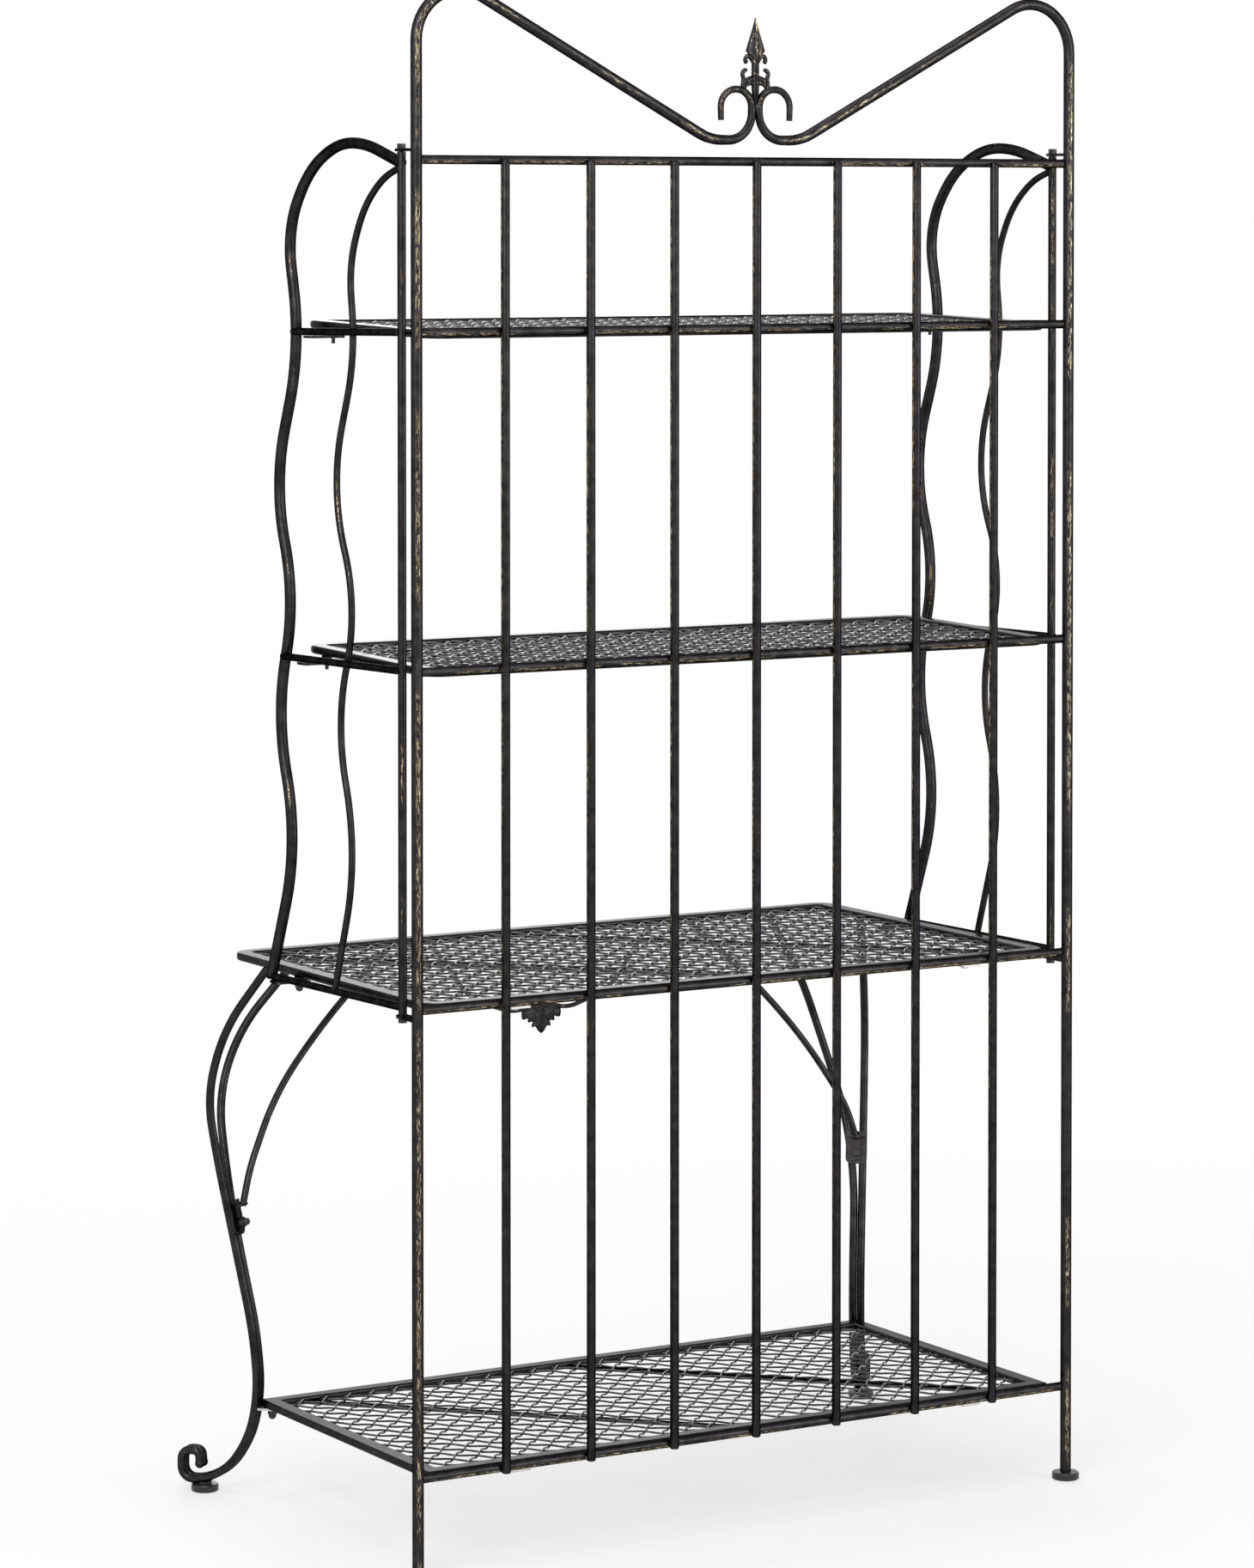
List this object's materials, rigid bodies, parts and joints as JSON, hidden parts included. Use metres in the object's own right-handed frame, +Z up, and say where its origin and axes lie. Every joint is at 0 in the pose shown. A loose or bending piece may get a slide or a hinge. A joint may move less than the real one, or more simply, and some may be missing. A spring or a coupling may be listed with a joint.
{
  "type": "bakers rack",
  "caption": "Black metal bakers rack with a rodded back panel, hinged curved side panels, mesh shelves, a deep counter, scrolled cabriole front legs and an arched top with a spear finial.",
  "frame": {"origin": "on the floor, at the middle of the rack's outline seen from above", "axes": "+Z up; the open front with the scrolled legs faces -Y; +X is to the right hand of a person who faces the front"},
  "size_m": [0.9164, 0.4985, 1.6399],
  "materials": {
    "black_enamel": "satin black rubbed with bronze highlights",
    "mesh_enamel": "gloss black",
    "bare_steel": "zinc plated",
    "blackened_steel": "semi-gloss black",
    "foot_black": "matte black"
  },
  "bodies": {
    "rack": {"right_post": "black_enamel", "left_post": "black_enamel", "back_rod_1": "black_enamel", "back_rod_2": "black_enamel", "back_rod_3": "black_enamel", "back_rod_4": "black_enamel", "back_rod_5": "black_enamel", "back_rod_6": "black_enamel", "back_rod_7": "black_enamel", "top_rail": "black_enamel", "upper_back_rail": "black_enamel", "middle_back_rail": "black_enamel", "counter_back_rail": "black_enamel", "lower_back_rail": "black_enamel", "finial": "black_enamel", "upper_shelf_frame": "black_enamel", "upper_shelf_mesh": "mesh_enamel", "middle_shelf_frame": "black_enamel", "middle_shelf_mesh": "mesh_enamel", "counter_frame": "black_enamel", "counter_mesh": "mesh_enamel", "lower_shelf_frame": "black_enamel", "lower_shelf_mesh": "mesh_enamel", "mesh_stiffeners": "black_enamel", "hinge_lugs": "black_enamel", "hinge_pins": "bare_steel", "right_outer_leg": "black_enamel", "left_outer_leg": "black_enamel", "right_inner_leg": "black_enamel", "left_inner_leg": "black_enamel", "right_leg_bracket": "black_enamel", "left_leg_bracket": "black_enamel", "right_leg_brace": "black_enamel", "left_leg_brace": "black_enamel", "right_rear_foot": "foot_black", "left_rear_foot": "foot_black", "right_front_foot": "foot_black", "left_front_foot": "foot_black", "shelf_studs": "bare_steel", "shelf_bosses": "black_enamel", "side_tabs": "black_enamel", "plain_tabs": "bare_steel", "shelf_bolts": "blackened_steel", "rear_screws": "bare_steel", "bracket_fasteners": "blackened_steel", "cap_nuts": "blackened_steel", "apron_leaf": "black_enamel", "apron_rods": "black_enamel"},
    "right_panel": {"right_hinge_tube": "black_enamel", "right_front_tube": "black_enamel", "right_inner_tube": "black_enamel", "right_upper_side_rail": "black_enamel", "right_middle_side_rail": "black_enamel", "right_counter_side_rail": "black_enamel"},
    "left_panel": {"left_hinge_tube": "black_enamel", "left_front_tube": "black_enamel", "left_inner_tube": "black_enamel", "left_upper_side_rail": "black_enamel", "left_middle_side_rail": "black_enamel", "left_counter_side_rail": "black_enamel"}
  },
  "joints": [
    {"name": "right_panel_hinge", "type": "hinge", "parent": "rack", "child": "right_panel", "pos_m": [0.4103, 0.20327, 1.025], "axis": [0, 0, 1], "range_deg": [0, 90]},
    {"name": "left_panel_hinge", "type": "hinge", "parent": "rack", "child": "left_panel", "pos_m": [-0.4103, 0.20327, 1.025], "axis": [0, 0, -1], "range_deg": [0, 90]}
  ]
}
